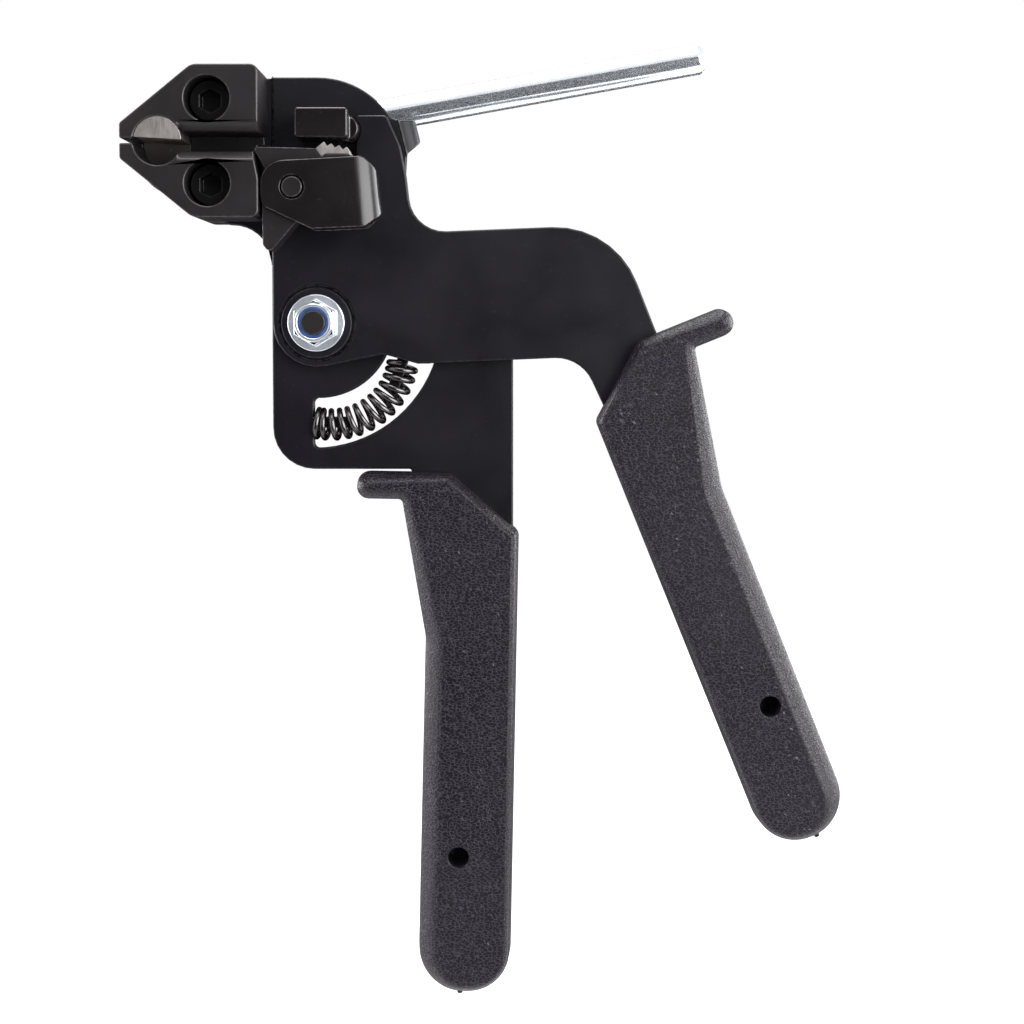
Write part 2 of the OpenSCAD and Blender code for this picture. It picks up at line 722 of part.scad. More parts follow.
// a bar out from the cutter's axis, turned up by an angle and moved up from that line
module spoke(angle, up, from, to, d, d_end) {
    translate([0, rod_y, 0]) rotate([0, -angle, 0]) translate([from, 0, up])
        rotate([0, 90, 0]) cylinder(h = to - from, d1 = d, d2 = d_end);
}
module cutter_shaft() {
    wide = 2 * cutter_diameter;
    color([0.7, 0.7, 0.72]) at_cutter() difference() {
        bar(0, 0, flat_front, hub_back, cutter_diameter);
        rotate([0, cutter_turn, 0])
            translate([-wide / 2, flat_front - over, cutter_flat - wide])
            cube([wide, channel_floor - flat_front + over, wide]);
    }
}
grub_start = cutter_diameter / 2 + side_clearance;
grub_end = hub_diameter / 2 - rod_gap;
module lever_hub() {
    color([0.1, 0.1, 0.11]) at_cutter() difference() {
        bar(0, 0, hub_front, hub_back, hub_diameter);
        bar(0, 0, hub_front - over, hub_back + over, cutter_diameter + 2 * seated);
        spoke(rod_lean, rod_offset, rod_start, hub_diameter, rod_diameter + 2 * seated,
              rod_diameter + 2 * seated);
        spoke(rod_lean + 90, 0, 0, hub_diameter, grub_diameter + 2 * seated,
              grub_diameter + 2 * seated);
    }
}
module hub_screw() {
    color([0.07, 0.07, 0.08]) at_cutter()
        spoke(rod_lean + 90, 0, grub_start, grub_end, grub_diameter, grub_diameter);
}
module lever_rod() {
    color([0.75, 0.76, 0.78]) at_cutter() {
        tip = rod_diameter - rod_taper;
        spoke(rod_lean, rod_offset, rod_start, hub_diameter, rod_diameter, rod_diameter);
        spoke(rod_lean, rod_offset, hub_diameter, rod_reach - rod_chamfer, rod_diameter, tip);
        spoke(rod_lean, rod_offset, rod_reach - rod_chamfer, rod_reach, tip, tip - 2 * rod_chamfer);
    }
}

// the grips
neck_width = 29.4;
neck_length = 27.5;
waist_round = 8;
guard_round_share = 0.49;
guard_fillet = 0.8;
brow_reach = 16.9;
brow_round = 2.2;
grip_bevel = 1.8;
bevel_steps = 3;
end_share = 0.485;
end_narrow = 0.2;
side_shift = 0.35;
nib_diameter = 1.4;
nib_rise = 0.7;
nib_across = 12.4;
function grip_points() = let (
    end = end_share * grip_width, under = guard_rise - guard_height,
    guard_round = guard_round_share * guard_height)
    rounded([
    [-side_shift, -grip_length, end],
    [grip_width - side_shift - end_narrow, -grip_length, end],
    [grip_width - side_shift, -neck_length, waist_round], [neck_width, under, guard_fillet],
    [guard_reach, under, guard_round], [guard_reach, guard_rise, guard_round],
    [brow_reach, guard_rise, brow_round],
    [-side_shift, -side_shift * guard_rise / brow_reach, brow_round]]);
function drawn_in(c, d) = let (n = len(c)) [for (i = [0 : n - 1])
    let (t = unit(c[(i + 1) % n] - c[(i + n - 1) % n])) c[i] + d * [-t.y, t.x]];
// the grip in its own frame, with its edges rounded all the way round
module grip_solid() {
    c = grip_points();
    n = len(c);
    half = grip_depth / 2;
    quarter = [for (k = [0 : bevel_steps]) let (a = 90 * k / bevel_steps)
        grip_bevel * [1 - cos(a), 1 - sin(a)]];
    levels = concat([for (q = quarter) [q.x - half, q.y]],
                    [for (k = [bevel_steps : -1 : 0]) [half - quarter[k].x, quarter[k].y]]);
    rows = len(levels);
    points = [for (l = levels) for (p = drawn_in(c, l[1])) [p.x, l[0], p.y]];
    polyhedron(points, concat(
        [[for (i = [n - 1 : -1 : 0]) i]],
        [[for (i = [0 : n - 1]) (rows - 1) * n + i]],
        [for (k = [0 : rows - 2]) for (i = [0 : n - 1])
            let (a = k * n + i, b = k * n + (i + 1) % n)
            each [[a, b + n, a + n], [a, b, b + n]]]));
}
module grip(x, drop, side, lean, mid, near, far) {
    hole = in_grip(x, drop, side, lean, hang_across, hang_b);
    color([0.12, 0.12, 0.125]) difference() {
        translate([x, mid, -drop]) rotate([0, -lean * side, 0])
            mirror([side > 0 ? 0 : 1, 0, 0]) {
            grip_solid();
            translate([nib_across, 0, -grip_length - nib_rise])
                cylinder(h = 2 * nib_rise, d = nib_diameter);
        }
        slab(mid - plate_thickness / 2 - seated, mid + plate_thickness / 2 + seated)
            polygon(concat([in_grip(x, drop, side, lean, near, guard_reach)],
                tang(x, drop, side, lean, near, far),
                [in_grip(x, drop, side, lean, far, guard_reach)]));
        bar(hole.x, hole.y, mid - grip_depth, mid + grip_depth, hang_diameter);
    }
}
module left_grip() { grip(left_x, left_drop, -1, left_lean, frame_mid, tang_in, left_far); }
module right_grip() { grip(right_reach, right_drop, 1, right_lean, arm_mid, arm_in, right_far); }

// the hang hole of the fixed grip is the origin
module place() { translate([-left_hang.x, -frame_mid, -left_hang.y]) children(); }
module told() {
    o = [left_hang.x, frame_mid, left_hang.y];
    echo(pivot = -o, pin = [-pin_left, 0, pin_z] - o, cutter = [cutter_x, 0, strap_height] - o,
         right_hang = [right_hang.x, arm_mid, right_hang.y] - o,
         spring_end = [coil(0).x, frame_mid, coil(0).z] - o,
         least_gap_of_the_spring_to_itself = coil_gap);
}

told();
place() {
    fixed_plate();
    left_grip();
    nose_front();
    nose_rear();
    cap_screw(1);  // cap_screw_upper
    cap_screw(-1);  // cap_screw_lower
    pivot_bolt();
    pivot_washer();
    lock_nut();
    nylon_ring();
    return_spring();
    moving_plate();
    right_grip();
    spring_driver();
    anvil_block();
    pawl_pin();
    pawl_jaw();
    tooth_strip();
    pawl_clip();
    cutter_shaft();
    lever_hub();
    lever_rod();
    hub_screw();
}
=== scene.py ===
import json
import math

import bmesh
import bpy
from mathutils import Matrix, Vector


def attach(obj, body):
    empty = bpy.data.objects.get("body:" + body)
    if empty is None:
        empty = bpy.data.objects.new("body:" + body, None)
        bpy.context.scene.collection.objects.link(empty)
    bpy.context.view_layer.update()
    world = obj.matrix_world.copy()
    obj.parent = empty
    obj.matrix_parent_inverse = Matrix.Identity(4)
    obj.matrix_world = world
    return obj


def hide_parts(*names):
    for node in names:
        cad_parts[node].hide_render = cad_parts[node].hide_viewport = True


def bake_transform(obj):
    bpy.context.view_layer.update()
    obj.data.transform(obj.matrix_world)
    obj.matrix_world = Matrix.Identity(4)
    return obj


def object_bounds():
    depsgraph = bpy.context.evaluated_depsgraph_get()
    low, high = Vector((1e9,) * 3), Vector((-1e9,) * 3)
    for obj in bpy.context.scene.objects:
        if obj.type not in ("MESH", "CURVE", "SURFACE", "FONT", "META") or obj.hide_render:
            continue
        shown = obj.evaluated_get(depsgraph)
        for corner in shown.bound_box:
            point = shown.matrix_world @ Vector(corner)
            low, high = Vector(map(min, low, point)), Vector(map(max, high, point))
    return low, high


bl_info = {
    "name": "Cable tie tensioning tool",
    "version": (1, 0, 0),
    "blender": (4, 5, 0),
    "location": "3D View > Sidebar > Tension Tool",
    "description": "Dresses the tensioning tool's solids with rounded edges, grained grips and finishes",
    "category": "Object",
}

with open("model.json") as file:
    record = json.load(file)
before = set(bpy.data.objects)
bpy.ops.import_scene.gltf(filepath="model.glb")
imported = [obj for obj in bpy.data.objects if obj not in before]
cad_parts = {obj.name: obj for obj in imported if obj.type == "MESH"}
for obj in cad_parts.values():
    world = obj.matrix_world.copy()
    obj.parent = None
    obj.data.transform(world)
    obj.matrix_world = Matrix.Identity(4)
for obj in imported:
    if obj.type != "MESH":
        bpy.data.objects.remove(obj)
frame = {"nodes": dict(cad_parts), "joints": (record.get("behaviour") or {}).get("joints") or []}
CAD_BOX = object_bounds()
MM = 0.001

# the pivot bolt's place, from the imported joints
PIVOT = next(
    Vector(joint["pos_m"]) for joint in frame["joints"] if joint["name"] == "handle_hinge")


def from_pivot(x, y, z):
    """A place in metres, from millimetres right of, behind and above the pivot bolt."""
    return PIVOT + Vector((x, y, z)) * MM


# Settings that a user would change


class EdgeSettings(bpy.types.PropertyGroup):
    """Rounding of the metal pieces' edges."""
    plate: bpy.props.FloatProperty(
        name="Plates", description="Rounding of the two plates' edges",
        default=0.5 * MM, min=0.05 * MM, max=0.6 * MM, unit="LENGTH")
    nose: bpy.props.FloatProperty(
        name="Blocks", description="Rounding of the nose blocks', the anvil's and the hub's edges",
        default=0.45 * MM, min=0.05 * MM, max=0.8 * MM, unit="LENGTH")
    small: bpy.props.FloatProperty(
        name="Small pieces", description="Rounding of the clip, the rod, the pin and the fasteners",
        default=0.3 * MM, min=0.05 * MM, max=0.5 * MM, unit="LENGTH")
    tooth: bpy.props.FloatProperty(
        name="Teeth and blade", description="Rounding of the teeth's and the cutter shaft's edges",
        default=0.1 * MM, min=0.02 * MM, max=0.3 * MM, unit="LENGTH")


class SpringSettings(bpy.types.PropertyGroup):
    """The curved return spring."""
    wire: bpy.props.FloatProperty(
        name="Wire", description="Diameter of the spring's wire",
        default=1.5 * MM, min=1.2 * MM, max=1.6 * MM, unit="LENGTH")
    coil: bpy.props.FloatProperty(
        name="Coil", description="Outside diameter of the coil",
        default=8.4 * MM, min=7.5 * MM, max=8.5 * MM, unit="LENGTH")
    radius: bpy.props.FloatProperty(
        name="Bend", description="Radius of the curved line that the coil follows",
        default=18.2 * MM, min=17.5 * MM, max=18.6 * MM, unit="LENGTH")


class GripSettings(bpy.types.PropertyGroup):
    """The two plastic grips."""
    length: bpy.props.FloatProperty(
        name="Length", description="From the inner corner to the grip's end",
        default=117.8 * MM, min=100 * MM, max=130 * MM, unit="LENGTH")
    width: bpy.props.FloatProperty(
        name="Width", description="Width below the neck",
        default=23.2 * MM, min=20 * MM, max=26 * MM, unit="LENGTH")
    depth: bpy.props.FloatProperty(
        name="Thickness", description="Thickness from front to back",
        default=16 * MM, min=12 * MM, max=20 * MM, unit="LENGTH")
    facet: bpy.props.FloatProperty(
        name="Facet", description="Width of the slanted facet along the outer side",
        default=4.7 * MM, min=2.5 * MM, max=6 * MM, unit="LENGTH")
    hole: bpy.props.FloatProperty(
        name="Hang hole", description="Diameter of the hang hole",
        default=5.2 * MM, min=4 * MM, max=6 * MM, unit="LENGTH")


class FinishSettings(bpy.types.PropertyGroup):
    """Colours of the finishes."""
    steel: bpy.props.FloatVectorProperty(
        name="Black steel", description="Colour of the blackened plates",
        subtype="COLOR", default=(0.0074, 0.0062, 0.0112), min=0, max=1)
    block: bpy.props.FloatVectorProperty(
        name="Black blocks", description="Colour of the nose, pawl, clip and fasteners",
        subtype="COLOR", default=(0.016, 0.0135, 0.0150), min=0, max=1)
    # a brown tone made far lighter than the black steel: painted light on the shaft's faces inside the
    # shaded bore
    bore: bpy.props.FloatVectorProperty(
        name="Cutter's bore", description="Colour of the stained shaft behind the blade",
        subtype="COLOR", default=(0.10, 0.078, 0.070), min=0, max=1)
    grip: bpy.props.FloatVectorProperty(
        name="Grip plastic", description="Colour of the grained grips",
        subtype="COLOR", default=(0.0094, 0.0077, 0.0127), min=0, max=1)
    zinc: bpy.props.FloatVectorProperty(
        name="Zinc", description="Colour of the plated nut and rod",
        subtype="COLOR", default=(0.82, 0.86, 0.95), min=0, max=1)
    ground: bpy.props.FloatVectorProperty(
        name="Ground steel", description="Colour of the blade and the teeth",
        subtype="COLOR", default=(0.40, 0.37, 0.36), min=0, max=1)
    nylon: bpy.props.FloatVectorProperty(
        name="Nylon", description="Colour of the lock nut's ring",
        subtype="COLOR", default=(0.022, 0.085, 0.29), min=0, max=1)


class StageSettings(bpy.types.PropertyGroup):
    """Light and floor."""
    world: bpy.props.FloatProperty(
        name="Sky", description="Strength of the even light from all round",
        default=0.45, min=0, max=1)
    side_lamp: bpy.props.FloatProperty(
        name="Side lamps", description="Power of the two side lamps, watts",
        default=7.0, min=0, max=20)
    key_lamp: bpy.props.FloatProperty(
        name="Key lamps", description="Power of the two high lamps, watts",
        default=3.0, min=0, max=20)
    shine_lamp: bpy.props.FloatProperty(
        name="Shine lamps", description="Power of the lamps that only show as highlights, watts",
        default=10.0, min=0, max=30)
    drop: bpy.props.FloatProperty(
        name="Floor drop", description="From the tool's lowest point to the floor",
        default=80 * MM, min=5 * MM, max=300 * MM, unit="LENGTH")


# Shader building


class Shader:
    """A node tree with short calls for making and joining nodes."""

    def __init__(self, tree):
        self.tree = tree

    def add(self, kind, **settings):
        node = self.tree.nodes.new(kind)
        inputs = settings.pop("inputs", {})
        for name, value in settings.items():
            setattr(node, name, value)
        for name, value in inputs.items():
            self.feed(node.inputs[name], value)
        return node

    def feed(self, socket, value):
        if isinstance(value, bpy.types.NodeSocket):
            self.tree.links.new(value, socket)
        else:
            socket.default_value = value

    def math(self, operation, *values, clamp=False):
        node = self.add("ShaderNodeMath", operation=operation, use_clamp=clamp)
        for socket, value in zip(node.inputs, values):
            self.feed(socket, value)
        return node.outputs[0]

    def remap(self, value, low, high, to_low=0.0, to_high=1.0):
        node = self.add("ShaderNodeMapRange", inputs={
            "Value": value, "From Min": low, "From Max": high, "To Min": to_low, "To Max": to_high})
        return node.outputs["Result"]

    def vary(self, factor, first, second):
        """A number that goes from the first to the second as a factor goes from 0 to 1."""
        return self.remap(factor, 0.0, 1.0, first, second)

    def noise(self, place, scale, detail, roughness=0.5, distortion=0.0):
        node = self.add("ShaderNodeTexNoise", inputs={
            "Vector": place, "Scale": scale, "Detail": detail, "Roughness": roughness,
            "Distortion": distortion})
        return node.outputs["Fac"]

    def blend(self, factor, first, second):
        node = self.add("ShaderNodeMix", data_type="RGBA")
        self.feed(node.inputs["Factor"], factor)
        self.feed(node.inputs["A"], first)
        self.feed(node.inputs["B"], second)
        return node.outputs["Result"]

    def bump(self, height, distance, strength, normal=None):
        node = self.add("ShaderNodeBump", inputs={
            "Height": height, "Distance": distance, "Strength": strength})
        if normal:
            self.feed(node.inputs["Normal"], normal)
        return node.outputs["Normal"]

    def object_place(self):
        return self.add("ShaderNodeTexCoord").outputs["Object"]

    def stretched_place(self, x, y, z):
        """The place on the object, scaled by its own factor along each axis."""
        factors = self.add("ShaderNodeCombineXYZ", inputs={"X": x, "Y": y, "Z": z})
        mapping = self.add("ShaderNodeMapping", inputs={
            "Vector": self.object_place(), "Scale": factors.outputs["Vector"]})
        return mapping.outputs["Vector"]


def shader_group(name, inputs, outputs, fill):
    """A node group, built once, with named float sockets."""
    if name in bpy.data.node_groups:
        return bpy.data.node_groups[name]
    tree = bpy.data.node_groups.new(name, "ShaderNodeTree")
    for socket, default in inputs.items():
        made = tree.interface.new_socket(name=socket, in_out="INPUT", socket_type="NodeSocketFloat")
        made.default_value = default
    for socket in outputs:
        tree.interface.new_socket(name=socket, in_out="OUTPUT", socket_type="NodeSocketFloat")
    shader = Shader(tree)
    inside = shader.add("NodeGroupInput")
    outside = shader.add("NodeGroupOutput")
    for socket, value in fill(shader, inside.outputs).items():
        shader.feed(outside.inputs[socket], value)
    return tree


def edge_wear_group():
    """A mask of the corners where handling has rubbed a finish thin, broken up by noise."""
    def fill(shader, given):
        rounded = shader.add("ShaderNodeBevel", samples=4, inputs={"Radius": given["Radius"]})
        flat = shader.add("ShaderNodeNewGeometry").outputs["Normal"]
        turn = shader.add("ShaderNodeVectorMath", operation="DOT_PRODUCT")
        shader.feed(turn.inputs[0], rounded.outputs["Normal"])
        shader.feed(turn.inputs[1], flat)
        barely_turned, well_turned = 0.995, 0.93
        edge = shader.remap(turn.outputs["Value"], barely_turned, well_turned)
        broken = shader.noise(shader.object_place(), given["Break scale"], detail=3.0)
        gone_below, whole_above = 0.36, 0.62
        kept = shader.remap(broken, gone_below, whole_above)
        mask = shader.math("MULTIPLY", shader.math("MULTIPLY", edge, kept), given["Amount"], clamp=True)
        return {"Mask": mask}
    return shader_group("Edge wear", {"Radius": 0.4 * MM, "Break scale": 900.0, "Amount": 1.0},
                        ["Mask"], fill)


def metal_grain_group():
    """Fine blasted grain with larger clouds and a few specks."""
    def fill(shader, given):
        place = shader.object_place()
        fine = shader.noise(place, given["Grain scale"], detail=2.0, roughness=0.6)
        clouds = shader.noise(place, given["Cloud scale"], detail=3.0, distortion=0.4)
        spots = shader.noise(place, given["Speck scale"], detail=1.0)
        return {"Grain": fine, "Clouds": shader.remap(clouds, low=0.3, high=0.7),
                "Specks": shader.remap(spots, low=0.70, high=0.76)}
    return shader_group("Metal grain",
                        {"Grain scale": 3200.0, "Cloud scale": 55.0, "Speck scale": 900.0},
                        ["Grain", "Clouds", "Specks"], fill)


def worm_grain_group():
    """Moulded leather grain: a net of thin raised lines, wider than high, that break off."""
    def fill(shader, given):
        across = given["Cells across"]
        cells = shader.add("ShaderNodeTexVoronoi", feature="DISTANCE_TO_EDGE", inputs={
            "Vector": shader.stretched_place(across, across, given["Cells up"]), "Scale": 1.0})
        line = shader.remap(cells.outputs["Distance"], given["Width"], given["Crest"])
        broken = shader.noise(shader.object_place(), given["Break scale"], detail=1.0)
        gone_below, whole_above = 0.36, 0.50
        kept = shader.remap(broken, gone_below, whole_above)
        return {"Lines": shader.math("MULTIPLY", line, kept)}
    return shader_group("Worm grain", {"Cells across": 950.0, "Cells up": 1500.0, "Width": 0.14,
                                       "Crest": 0.04, "Break scale": 1300.0}, ["Lines"], fill)


def scuff_group():
    """Thin scuffs that lie along one way, for wiped and ground metal."""
    def fill(shader, given):
        place = shader.stretched_place(given["Across X"], given["Across Y"], given["Across Z"])
        lines = shader.noise(place, scale=1.0, detail=3.0, roughness=0.65)
        return {"Lines": lines, "Scuffs": shader.remap(lines, low=0.62, high=0.74)}
    return shader_group("Scuffs", {"Across X": 300.0, "Across Y": 300.0, "Across Z": 4000.0},
                        ["Lines", "Scuffs"], fill)


def new_material(name):
    """A material, a builder for its nodes and its Principled shader."""
    material = bpy.data.materials.new(name)
    material.use_nodes = True
    return material, Shader(material.node_tree), material.node_tree.nodes["Principled BSDF"]


def use_group(shader, tree, **values):
    node = shader.add("ShaderNodeGroup", node_tree=tree)
    for name, value in values.items():
        node.inputs[name.replace("_", " ")].default_value = value
    return node.outputs


def scaled(colour, factor):
    return tuple(min(1.0, part * factor) for part in colour[:3]) + (1.0,)


# each black finish: its colour setting and how bright beside it, its roughness, how strongly and
# how widely (in millimetres) its corners are worn, and its specular level
BLACK_FINISHES = {
    "plate": ("Plate black", "steel", 1.0, 0.42, 0.6, 0.35, 0.19),
    "block": ("Block black", "block", 1.0, 0.38, 0.7, 0.4, 0.35),
    "sheet": ("Sheet black", "block", 0.85, 0.24, 1.0, 0.3, 0.35),
    # the screws' black is 0.4 as bright as the blocks: painted shade for the counterbores and hex sockets
    # that they sit in
    "fastener": ("Fastener black", "block", 0.4, 0.35, 0.3, 0.25, 0.25),
    # the bore's brown is made lighter as painted light, since these faces lie in shade inside the bore
    "bore": ("Bore brown", "bore", 1.0, 0.45, 0.2, 0.2, 0.4),
}
WORN_COLOUR = (0.24, 0.23, 0.23, 1.0)
WORN_METAL = 0.6
WORN_SMOOTHER = 0.08
SPECK_SHARE = 0.25


def black_finish(name, setting, bright, roughness, wear, wear_width, specular):
    """Blackened steel: satin grain, cloudy tone and thin grey wear at the corners."""
    material, shader, principled = new_material(name)
    colour = scaled(getattr(bpy.context.scene.tension_finishes, setting), bright)
    grain = use_group(shader, metal_grain_group())
    worn = use_group(shader, edge_wear_group(), Radius=wear_width * MM, Amount=wear)["Mask"]
    tone = shader.blend(grain["Clouds"], scaled(colour, 0.85), scaled(colour, 1.2))
    specks = shader.math("MULTIPLY", grain["Specks"], SPECK_SHARE)
    specked = shader.blend(specks, tone, scaled(colour, 4.0))
    shader.feed(principled.inputs["Base Color"], shader.blend(worn, specked, WORN_COLOUR))
    rough = shader.vary(grain["Clouds"], roughness - 0.05, roughness + 0.05)
    shader.feed(principled.inputs["Roughness"],
                shader.math("SUBTRACT", rough, shader.math("MULTIPLY", worn, WORN_SMOOTHER)))
    shader.feed(principled.inputs["Metallic"], shader.math("MULTIPLY", worn, WORN_METAL))
    principled.inputs["Specular IOR Level"].default_value = specular
    shader.feed(principled.inputs["Normal"],
                shader.bump(grain["Grain"], distance=0.012 * MM, strength=0.5))
    return material


# how far the grain's raised lines are blended to a lighter colour: a painted highlight for the light that
# they catch
GRAIN_HIGHLIGHT_SHARE = 0.85


def grip_plastic():
    """Charcoal plastic with a moulded leather grain, whose raised lines carry a painted highlight, and a
    dull handled sheen.
    """
    material, shader, principled = new_material("Grip plastic")
    colour = bpy.context.scene.tension_finishes.grip
    grain = use_group(shader, worm_grain_group())
    clouds = use_group(shader, metal_grain_group(), Cloud_scale=30.0, Grain_scale=2400.0)
    tone = shader.blend(clouds["Clouds"], scaled(colour, 0.9), scaled(colour, 1.15))
    # painted highlight: the raised grain lines are real, but their colour is five times lighter than the
    # plastic's
    lines = shader.math("MULTIPLY", grain["Lines"], GRAIN_HIGHLIGHT_SHARE)
    shader.feed(principled.inputs["Base Color"], shader.blend(lines, tone, scaled(colour, 5.0)))
    shader.feed(principled.inputs["Roughness"], shader.vary(clouds["Clouds"], 0.34, 0.42))
    fine = shader.bump(clouds["Grain"], distance=0.02 * MM, strength=0.5)
    shader.feed(principled.inputs["Normal"],
                shader.bump(grain["Lines"], distance=0.2 * MM, strength=1.0, normal=fine))
    principled.inputs["Specular IOR Level"].default_value = 0.24
    return material


# the range of the scuffs' noise over which a finish gets rougher
LINE_RANGE = (0.3, 0.75)
# each zinc finish: the scale of its wiped lines along X, Y and Z, its roughness, how metallic it
# is and how much that varies
ZINC_FINISHES = {
    "nut": ("Nut zinc", (500.0, 500.0, 500.0), 0.16, 0.62, 0.03),
    "rod": ("Rod zinc", (120.0, 2600.0, 2600.0), 0.12, 0.76, 0.09),
}


ZINC_SCUFF_SHARE = 0.2


def zinc_finish(name, wiped, roughness, metal, speckle):
    """Plated steel with wiped lines across one way, a speckled haze and a cloudy shine."""
    material, shader, principled = new_material(name)
    colour = bpy.context.scene.tension_finishes.zinc
    lines = use_group(
        shader, scuff_group(), Across_X=wiped[0], Across_Y=wiped[1], Across_Z=wiped[2])
    clouds = use_group(shader, metal_grain_group(), Cloud_scale=120.0, Grain_scale=2600.0)
    tone = shader.blend(clouds["Clouds"], scaled(colour, 0.94), scaled(colour, 1.1))
    scuffs = shader.math("MULTIPLY", lines["Scuffs"], ZINC_SCUFF_SHARE)
    shader.feed(principled.inputs["Base Color"], shader.blend(scuffs, tone, scaled(colour, 0.7)))
    haze = shader.remap(clouds["Grain"], 0.40, 0.62, metal + speckle, metal - speckle)
    shader.feed(principled.inputs["Metallic"], haze)
    shader.feed(principled.inputs["Roughness"],
                shader.remap(lines["Lines"], *LINE_RANGE, roughness, roughness + 0.1))
    shader.feed(principled.inputs["Normal"],
                shader.bump(lines["Lines"], distance=0.005 * MM, strength=0.4))
    return material


GROUND_SCUFF_SHARE = 0.6


def ground_steel():
    """Bare steel with fine grinding lines and faint stains."""
    material, shader, principled = new_material("Ground steel")
    colour = bpy.context.scene.tension_finishes.ground
    lines = use_group(shader, scuff_group(), Across_X=5000.0, Across_Y=5000.0, Across_Z=500.0)
    clouds = use_group(shader, metal_grain_group(), Cloud_scale=260.0)
    tone = shader.blend(clouds["Clouds"], scaled(colour, 0.75), scaled(colour, 1.1))
    scuffs = shader.math("MULTIPLY", lines["Scuffs"], GROUND_SCUFF_SHARE)
    shader.feed(principled.inputs["Base Color"], shader.blend(scuffs, tone, scaled(colour, 0.5)))
    shader.feed(principled.inputs["Metallic"], shader.vary(clouds["Clouds"], 1.0, 0.85))
    shader.feed(principled.inputs["Roughness"],
                shader.remap(lines["Lines"], *LINE_RANGE, 0.36, 0.55))
    shader.feed(principled.inputs["Normal"],
                shader.bump(lines["Lines"], distance=0.02 * MM, strength=0.6))
    return material


WIRE_DARK = (0.055, 0.052, 0.053, 1)
WIRE_LIGHT = (0.10, 0.095, 0.095, 1)


def spring_wire():
    """Dark drawn wire with a dull shine along it and a few dry patches."""
    material, shader, principled = new_material("Spring wire")
    clouds = use_group(shader, metal_grain_group(), Cloud_scale=400.0)
    shader.feed(principled.inputs["Base Color"],
                shader.blend(clouds["Clouds"], WIRE_DARK, WIRE_LIGHT))
    shader.feed(principled.inputs["Metallic"], shader.vary(clouds["Clouds"], 1.0, 0.9))
    shader.feed(principled.inputs["Roughness"], shader.vary(clouds["Clouds"], 0.22, 0.34))
    shader.feed(principled.inputs["Normal"],
                shader.bump(clouds["Grain"], distance=0.01 * MM, strength=0.5))
    principled.inputs["Specular Tint"].default_value = (0.25, 0.25, 0.25, 1)
    return material


def blue_nylon():
    """Dark blue nylon with a waxy, faintly marbled surface."""
    material, shader, principled = new_material("Blue nylon")
    colour = bpy.context.scene.tension_finishes.nylon
    clouds = use_group(shader, metal_grain_group(), Cloud_scale=500.0, Grain_scale=2500.0)
    shader.feed(principled.inputs["Base Color"],
                shader.blend(clouds["Clouds"], scaled(colour, 0.8), scaled(colour, 1.3)))
    shader.feed(principled.inputs["Roughness"], shader.vary(clouds["Clouds"], 0.35, 0.5))
    shader.feed(principled.inputs["Normal"],
                shader.bump(clouds["Grain"], distance=0.02 * MM, strength=0.4))
    return material


OTHER_FINISHES = {
    "grip": grip_plastic, "ground": ground_steel, "nylon": blue_nylon, "wire": spring_wire}
MADE_FINISHES = {}


def finish(name):
    """One of the finishes, made the first time that it is asked for."""
    if name not in MADE_FINISHES:
        if name in BLACK_FINISHES:
            MADE_FINISHES[name] = black_finish(*BLACK_FINISHES[name])
        elif name in ZINC_FINISHES:
            MADE_FINISHES[name] = zinc_finish(*ZINC_FINISHES[name])
        else:
            MADE_FINISHES[name] = OTHER_FINISHES[name]()
    return MADE_FINISHES[name]


# Mesh building


SAME_PLACE = 0.002 * MM
FLAT_WITHIN = math.radians(0.5)
SHARP_FROM = math.radians(28)
SHADED_SHARP_FROM = math.radians(50)


def node_shape(name):
    """A copy of a CAD node's mesh, with its triangles merged into whole flat faces."""
    shape = bmesh.new()
    shape.from_mesh(frame["nodes"][name].data)
    bmesh.ops.remove_doubles(shape, verts=shape.verts, dist=SAME_PLACE)
    bmesh.ops.dissolve_limit(
        shape, angle_limit=FLAT_WITHIN, verts=shape.verts, edges=shape.edges)
    return shape


def round_edges(shape, width, segments):
    """Rounds every edge that is sharp."""
    sharp = [edge for edge in shape.edges
             if len(edge.link_faces) == 2 and edge.calc_face_angle() > SHARP_FROM]
    bmesh.ops.bevel(
        shape, geom=sharp, offset=width, offset_type="OFFSET", affect="EDGES", segments=segments,
        profile=0.5, material=-1, clamp_overlap=False)


def union(shape, other):
    """The exact union of two closed shapes."""
    parts = []
    for name, part in (("first", shape), ("second", other)):
        mesh = bpy.data.meshes.new(name)
        part.to_mesh(mesh)
        part.free()
        holder = bpy.data.objects.new(name, mesh)
        bpy.context.scene.collection.objects.link(holder)
        parts.append(holder)
    joint = parts[0].modifiers.new("Union", "BOOLEAN")
    joint.operation = "UNION"
    joint.solver = "EXACT"
    joint.object = parts[1]
    bpy.context.view_layer.update()
    mesh = bpy.data.meshes.new_from_object(
        parts[0].evaluated_get(bpy.context.evaluated_depsgraph_get()))
    result = bmesh.new()
    result.from_mesh(mesh)
    for holder in parts:
        old = holder.data
        bpy.data.objects.remove(holder)
        bpy.data.meshes.remove(old)
    bpy.data.meshes.remove(mesh)
    return result


def add_piece(name, shape, material, body=None):
    """Turns a finished shape into a piece, which rides on a body if one is named."""
    mesh = bpy.data.meshes.new(name)
    shape.to_mesh(mesh)
    shape.free()
    mesh.polygons.foreach_set("use_smooth", [True] * len(mesh.polygons))
    mesh.set_sharp_from_angle(angle=SHADED_SHARP_FROM)
    mesh.materials.append(material)
    piece = bpy.data.objects.new(name, mesh)
    bpy.context.scene.collection.objects.link(piece)
    even = piece.modifiers.new("Even shading", "WEIGHTED_NORMAL")
    even.keep_sharp = True
    if body:
        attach(piece, body)
    return piece


